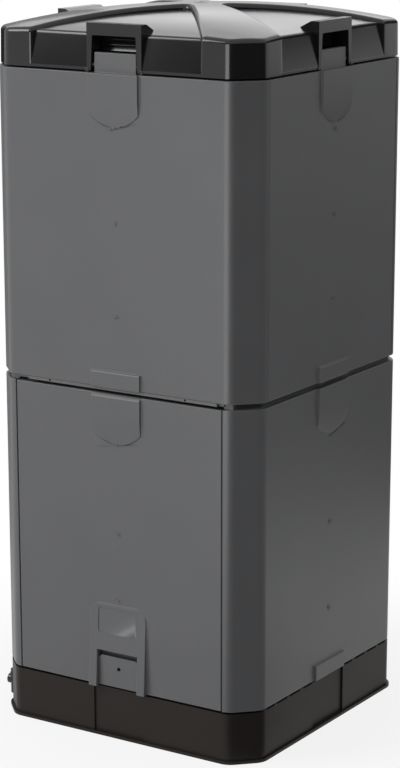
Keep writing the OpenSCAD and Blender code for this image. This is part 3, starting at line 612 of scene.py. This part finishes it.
# %% Plan of the ridges
def star_plan():
    """Points (x, y, rim), where rim is true on the outside and false round a pocket."""
    side_x, tip, tip_r, slant, soft = 0.152, 0.058, 0.014, 0.17, 0.009
    reach = lid_half - lean - tip
    distance = math.hypot(side_x, reach)
    slope = math.atan2(side_x, reach) - math.asin(tip_r / distance)
    foot_y = (-tip + tip_r * math.sin(slope)
              - (side_x - tip_r * math.cos(slope)) / math.tan(slope))
    edge_x = side_x + slant * (lid_half + foot_y)
    pocket = [(-edge_x - soft + soft * math.sin(t), soft * (1 - math.cos(t)) - lid_half, True)
              for t in [math.radians(80 * i / 4) for i in range(5)]]
    pocket += [(-side_x, foot_y, False)]
    touch = (-tip_r * math.cos(slope), tip_r * math.sin(slope) - tip)
    pocket += [(-side_x + (touch[0] + side_x) * k / 12, foot_y + (touch[1] - foot_y) * k / 12,
                False) for k in range(1, 12)]
    half_way = len(pocket) - 1
    pocket += [(tip_r * math.cos(t), tip_r * math.sin(t) - tip, False)
               for t in [math.pi - slope - (math.pi - 2 * slope) * i / 10 for i in range(11)]]
    pocket += [(-x, y, rim) for x, y, rim in pocket[half_way::-1]]
    clear = edge_x + soft + 0.002
    corner = [(x, y, True) for x, y in filled(plan_ring(lid_half, corner_at, edge_round), 0.012)
              if x > clear and y < -clear]
    corner.sort(key=lambda p: math.atan2(p[1], p[0]))
    return [(*quarter(x, y, turn), rim) for turn in range(4) for x, y, rim in pocket + corner]


def inset_plan(plan, distances):
    """Moves every point of a closed plan inwards by its own distance."""
    moved = []
    for i, (x, y, rim) in enumerate(plan):
        before, after = Vector(plan[i - 1][:2]), Vector(plan[(i + 1) % len(plan)][:2])
        here = Vector((x, y))
        one, two = (here - before).normalized(), (after - here).normalized()
        inward = Vector((-one.y - two.y, one.x + two.x))
        inward /= max(inward.length, 1e-9)
        stretch = 1 / max(0.45, inward.dot(Vector((-one.y, one.x))))
        point = here + inward * distances[i] * stretch
        moved.append((point.x, point.y))
    return moved


plan = star_plan()
print("star of", len(plan), "points")

# %% Rings of the plate, from the hollow underside over the rolled rim
radii = [0.007 if rim else 0.008 for x, y, rim in plan]
feet = [lid_z0 if rim else skirt_z1 - 0.014 for x, y, rim in plan]
ridges = bmesh.new()
rings = []
for inset, lift in ((wall, hollow), (wall, 0), (0, 0)):
    places = inset_plan(plan, [inset] * len(plan))
    rings.append([ridges.verts.new((x, y, z + lift)) for (x, y), z in zip(places, feet)])
places = inset_plan(plan, [0] * len(plan))
rings.append([ridges.verts.new((x, y, z + (0.004 if rim else 0.001)))
              for (x, y), z, (px, py, rim) in zip(places, feet, plan)])
for t in (0, 20, 40, 60, 78, 90):
    roll_in, roll_down = 1 - math.cos(math.radians(t)), 1 - math.sin(math.radians(t))
    places = inset_plan(plan, [(rim_out if rim else 0) + r * roll_in
                               for r, (x, y, rim) in zip(radii, plan)])
    rings.append([ridges.verts.new((x, y, ridge_height(x, y) - r * roll_down))
                  for (x, y), r in zip(places, radii)])
join_rings(ridges, rings)
print(len(rings), "rings")


# %% Fill the plate above and below with a net
def net(shape, ring, height, flip=False):
    """Fills a ring of points with triangles over a grid, at the heights of a function."""
    across, along, count, margin = 0.009, 0.0079, 27, 0.004
    border = [v.co.xy.copy() for v in ring]
    inside = []
    for i in range(-count, count + 1):
        for j in range(-count, count + 1):
            spot = Vector((i * across + (j % 2) * across / 2, j * along))
            near = min((spot - b).length for b in border)
            crossings = sum((a.y > spot.y) != (b.y > spot.y)
                            and spot.x < (b.x - a.x) * (spot.y - a.y) / (b.y - a.y) + a.x
                            for a, b in zip(border, border[1:] + border[:1]))
            if near > margin and crossings % 2:
                inside.append(spot)
    edges = [(i, (i + 1) % len(border)) for i in range(len(border))]
    found, _, faces, origin, _, _ = delaunay_2d_cdt(border + inside, edges, [], 1, 1e-7)
    corners = []
    for k, spot in enumerate(found):
        source = origin[k][0] if origin[k] else -1
        corners.append(ring[source] if 0 <= source < len(border)
                       else shape.verts.new((spot.x, spot.y, height(spot.x, spot.y))))
    for face in faces:
        shape.faces.new([corners[k] for k in (face[::-1] if flip else face)])


def underside(x, y):
    return skirt_z1 - 0.0095 if max(abs(x), abs(y)) < 0.225 else lid_z0 + hollow


net(ridges, rings[-1], ridge_height)
net(ridges, rings[0], underside, True)
bmesh.ops.recalc_face_normals(ridges, faces=ridges.faces)
print("ridges", len(ridges.faces), "faces, open edges:", open_edges(ridges))


# %% [markdown]
# A housing stands in the middle of each side. Its window lets the panel's
# catch tab show, and two narrow slots behind take the catch pins. Openings
# with crisp corners are easiest to cut: a profile is run across the front as
# a solid block, and Boolean cuts take the openings out of it. The low body
# gets the same window, so that both open at the same place.

# %% Round chosen edges of a shape
def round_edges(shape, width, chosen, segments=4):
    edges = [e for e in shape.edges if len(e.link_faces) == 2 and chosen(e)]
    if edges:
        bmesh.ops.bevel(shape, geom=edges, offset=width, offset_type="OFFSET",
                        segments=segments, profile=0.5, affect="EDGES", clamp_overlap=True)


def foot_of(edge):
    return min(v.co.z for v in edge.verts)


# %% Cut one shape out of another
def cut_out(shape, tool):
    """Both shapes are used up, and a new one comes back."""
    blocks = []
    for source in (shape, tool):
        mesh = bpy.data.meshes.new("clay")
        source.to_mesh(mesh)
        source.free()
        blocks.append(place_object("clay", mesh))
    cut = blocks[0].modifiers.new("cut", "BOOLEAN")
    cut.operation = "DIFFERENCE"
    cut.solver = "EXACT"
    cut.object = blocks[1]
    bpy.context.view_layer.update()
    made = plain_mesh(blocks[0])
    result = bmesh.new()
    result.from_mesh(made)
    bpy.data.meshes.remove(made)
    for block in blocks:
        mesh = block.data
        bpy.data.objects.remove(block)
        bpy.data.meshes.remove(mesh)
    bmesh.ops.remove_doubles(result, verts=result.verts, dist=0.000002)
    return result


# %% Run a profile across the front and turn it round the lid
def profile_solid(points, x0, x1, turn=0):
    """A profile of (outwards, up) points, run across the front and turned by quarter turns."""
    shape = bmesh.new()
    ends = [[shape.verts.new((x, -out, z)) for out, z in points] for x in (x0, x1)]
    shape.faces.new(ends[0])
    shape.faces.new(ends[1])
    join_rings(shape, ends)
    bmesh.ops.recalc_face_normals(shape, faces=shape.faces)
    bmesh.ops.rotate(shape, verts=shape.verts, cent=(0, 0, 0),
                     matrix=Matrix.Rotation(math.pi / 2 * turn, 3, "Z"))
    return shape


# %% A housing, its window and the slots for the catch pins
window_z, window_half, window_out, below = 1.143, 0.0405, 0.27, 0.01
pin_out, pin_z, pin_half = 0.241, 1.098, 0.0455


def housing_block(turn):
    block = profile_solid(
        [(lid_half, lid_z0), (lid_half, housing_z), (0.2335, housing_z),
         (0.212, skirt_z1 + 0.004), (0.205, skirt_z1), (back_in - wall, skirt_z1),
         (back_in - wall, lid_z0)], -housing_half, housing_half, turn)

    def top_or_front(edge):
        one, two = (v.co for v in edge.verts)
        wall_up, top_up = sorted(f.normal.z for f in edge.link_faces)
        if foot_of(edge) > skirt_z1 + 0.001 and wall_up < 0.5 < top_up:
            return True
        outwards = max(abs(v) for v in (one + two).xy) / 2
        return outwards > lid_half - 0.001 and abs(one.z - two.z) > 0.03

    round_edges(block, 0.0035, top_or_front)
    return block


def window_block(turn):
    """The opening of a window, a little wider at its foot."""
    block = profile_solid([(window_out, lid_z0 - below), (window_out, window_z),
                           (back_in, window_z), (back_in, lid_z0 - below)],
                          -window_half, window_half, turn)
    outward = Matrix.Rotation(math.pi / 2 * turn, 2, "Z") @ Vector((0, -1))
    for v in block.verts:
        if v.co.z < lid_z0:
            side = 1 if outward.orthogonal().dot(v.co.xy) > 0 else -1
            v.co.xy += v.co.xy.normalized().orthogonal() * 0.0035 * side
    depth = window_out - back_in
    round_edges(block, 0.002, lambda e: foot_of(e) > window_z - 0.001
                and abs((e.verts[0].co - e.verts[1].co).length - depth) < 0.001)
    return block


def pin_slot(turn):
    """A slot with a round top. The rear one holds the hinge, so it fits its pins closely."""
    r = 0.00306 if turn == 2 else 0.0036
    arch = [(pin_out + r * math.cos(math.pi * i / 12), pin_z + r * math.sin(math.pi * i / 12))
            for i in range(13)]
    return profile_solid([(pin_out + r, lid_z0 - below)] + arch
                         + [(pin_out - r, lid_z0 - below)], -pin_half, pin_half, turn)


# %% Cut the four sides
forms = [ridges]
for turn in range(4):
    housing = cut_out(housing_block(turn), window_block(turn))
    low = cut_out(low, window_block(turn))
    forms.append(cut_out(housing, pin_slot(turn)))
forms.append(low)
print(len(forms), "forms so far")

# %% [markdown]
# A flat boss covers the middle of the star, with a small dimple where the
# mould was fed. It is a short cylinder with a rounded top edge, and the
# dimple is cut out of it.

# %% The boss in the middle, with its dimple
boss = bmesh.new()
bmesh.ops.create_cone(boss, cap_ends=True, segments=48, radius1=0.0125, radius2=0.0125,
                      depth=0.004, matrix=Matrix.Translation((0, 0, peak_z - 0.0021)))
round_edges(boss, 0.0008, lambda e: foot_of(e) > peak_z - 0.001, 3)
dimple = bmesh.new()
bmesh.ops.create_cone(dimple, cap_ends=True, segments=32, radius1=0.0035, radius2=0.0045,
                      depth=0.004, matrix=Matrix.Translation((0, 0, peak_z + 0.0008)))
forms.append(cut_out(boss, dimple))
print("boss", len(forms[-1].faces), "faces")


# %% Put the forms of the lid together, and let them replace the plain shell
def add_form(whole, form):
    """Copies a form into a larger one and frees it."""
    mesh = bpy.data.meshes.new("form")
    form.to_mesh(mesh)
    form.free()
    whole.from_mesh(mesh)
    bpy.data.meshes.remove(mesh)


def lid_piece(shape, name):
    mesh = bpy.data.meshes.new(name)
    shape.to_mesh(mesh)
    shape.free()
    piece = place_object(name, mesh)
    mesh.materials.append(finish_of["lid_shell"])
    even_shading(piece)
    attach(piece, body_of["lid_shell"])
    print(name, len(piece.data.polygons), "faces")
    return piece


body = bmesh.new()
for form in forms:
    print("lid form", len(form.faces), "faces, open edges:", open_edges(form))
    add_form(body, form)
body.normal_update()
moulding = lid_piece(body, "lid_moulding")
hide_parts("lid_shell")

# %% [markdown]
# ## Louvre ribs
#
# Behind each window of the lid, three louvre ribs hang one below the other,
# and two small nubs stand at its sides. All four windows are alike. One rib
# could be copied by hand twelve times, but a rule is easier to change: a
# Geometry Nodes tree sets rows of the first shape down by a pitch, then turns
# the whole row round the lid. The result is made a plain mesh afterwards.

# %% A tree that repeats a shape in rows and round the lid
rows_round = bpy.data.node_groups.new("rows_round_the_lid", "GeometryNodeTree")
socket_of = {}
for label, kind in (("Shape", "Geometry"), ("Rows", "Int"), ("Pitch", "Float"),
                    ("Sides", "Int"), ("Finish", "Material")):
    socket_of[label] = rows_round.interface.new_socket(
        label, in_out="INPUT", socket_type="NodeSocket" + kind).identifier
rows_round.interface.new_socket("Shape", in_out="OUTPUT", socket_type="NodeSocketGeometry")
given, result = add(rows_round, "NodeGroupInput"), add(rows_round, "NodeGroupOutput")
print(rows_round.name, "takes", ", ".join(socket_of))

# %% Rows: copies of the shape, one pitch below the other
down = add(rows_round, "ShaderNodeMath", operation="MULTIPLY")
down.inputs[1].default_value = -1
step = add(rows_round, "ShaderNodeCombineXYZ")
row = add(rows_round, "GeometryNodeMeshLine", mode="OFFSET")
rows = add(rows_round, "GeometryNodeInstanceOnPoints")
wire(rows_round, given.outputs["Pitch"], down.inputs[0])
wire(rows_round, down.outputs[0], step.inputs["Z"])
wire(rows_round, given.outputs["Rows"], row.inputs["Count"])
wire(rows_round, step.outputs[0], row.inputs["Offset"])
wire(rows_round, row.outputs["Mesh"], rows.inputs["Points"])
wire(rows_round, given.outputs["Shape"], rows.inputs["Instance"])
print("rows need", len(rows_round.nodes), "nodes so far")

# %% Round the lid: one point per side, all in the middle, each turned further
centre = add(rows_round, "GeometryNodeMeshLine", mode="OFFSET")
centre.inputs["Offset"].default_value = (0, 0, 0)
index = add(rows_round, "GeometryNodeInputIndex")
share = add(rows_round, "ShaderNodeMath", operation="DIVIDE")
turn = add(rows_round, "ShaderNodeMath", operation="MULTIPLY")
turn.inputs[1].default_value = 2 * math.pi
spin = add(rows_round, "ShaderNodeCombineXYZ")
ring = add(rows_round, "GeometryNodeInstanceOnPoints")
solid = add(rows_round, "GeometryNodeRealizeInstances")
paint = add(rows_round, "GeometryNodeSetMaterial")
wire(rows_round, given.outputs["Sides"], centre.inputs["Count"])
wire(rows_round, index.outputs[0], share.inputs[0])
wire(rows_round, given.outputs["Sides"], share.inputs[1])
wire(rows_round, share.outputs[0], turn.inputs[0])
wire(rows_round, turn.outputs[0], spin.inputs["Z"])
wire(rows_round, centre.outputs["Mesh"], ring.inputs["Points"])
wire(rows_round, rows.outputs[0], ring.inputs["Instance"])
wire(rows_round, spin.outputs[0], ring.inputs["Rotation"])
wire(rows_round, ring.outputs[0], solid.inputs[0])
wire(rows_round, solid.outputs[0], paint.inputs["Geometry"])
wire(rows_round, given.outputs["Finish"], paint.inputs["Material"])
wire(rows_round, paint.outputs[0], result.inputs[0])
print(rows_round.name, len(rows_round.nodes), "nodes")


# %% Run the tree on a shape and add its plain mesh to a larger one
def repeat(shape, into, count, pitch):
    mesh = bpy.data.meshes.new("one")
    shape.to_mesh(mesh)
    shape.free()
    carrier = place_object("carrier", mesh)
    repeater = carrier.modifiers.new("repeat", "NODES")
    repeater.node_group = rows_round
    repeater[socket_of["Rows"]] = count
    repeater[socket_of["Pitch"]] = pitch
    repeater[socket_of["Sides"]] = 4
    repeater[socket_of["Finish"]] = finish_of["lid_shell"]
    bpy.context.view_layer.update()
    made = plain_mesh(carrier)
    into.from_mesh(made)
    print("repeated", len(mesh.polygons), "faces into", len(made.polygons))
    bpy.data.objects.remove(carrier)
    bpy.data.meshes.remove(made)
    bpy.data.meshes.remove(mesh)


# %% Louvre ribs on the back wall of each window
louvres = bmesh.new()
rib_half, rib_pitch = 0.0385, 0.009
top = window_z + 0.001
rib = profile_solid([(back_in - 0.001, top - 0.0084), (back_in + 0.004, top - 0.0080),
                     (back_in + 0.004, top - 0.0074), (back_in + 0.0006, top),
                     (back_in - 0.001, top)], -rib_half, rib_half)
repeat(rib, louvres, 3, rib_pitch)

# %% The nubs beside each window
nub_at, nub_half = 0.0505, 0.003
nub_in, nub_out, nub_foot, nub_top = 0.243, 0.2492, 1.0868, 1.0925
nubs = bmesh.new()
for side in (-1, 1):
    nub = profile_solid([(nub_in, nub_foot), (nub_out, nub_foot), (nub_out, nub_top),
                         (nub_in, nub_top)], side * nub_at - nub_half, side * nub_at + nub_half)
    round_edges(nub, 0.0007, lambda e: True, 2)
    add_form(nubs, nub)
repeat(nubs, louvres, 1, 0)
lid_piece(louvres, "lid_louvres")
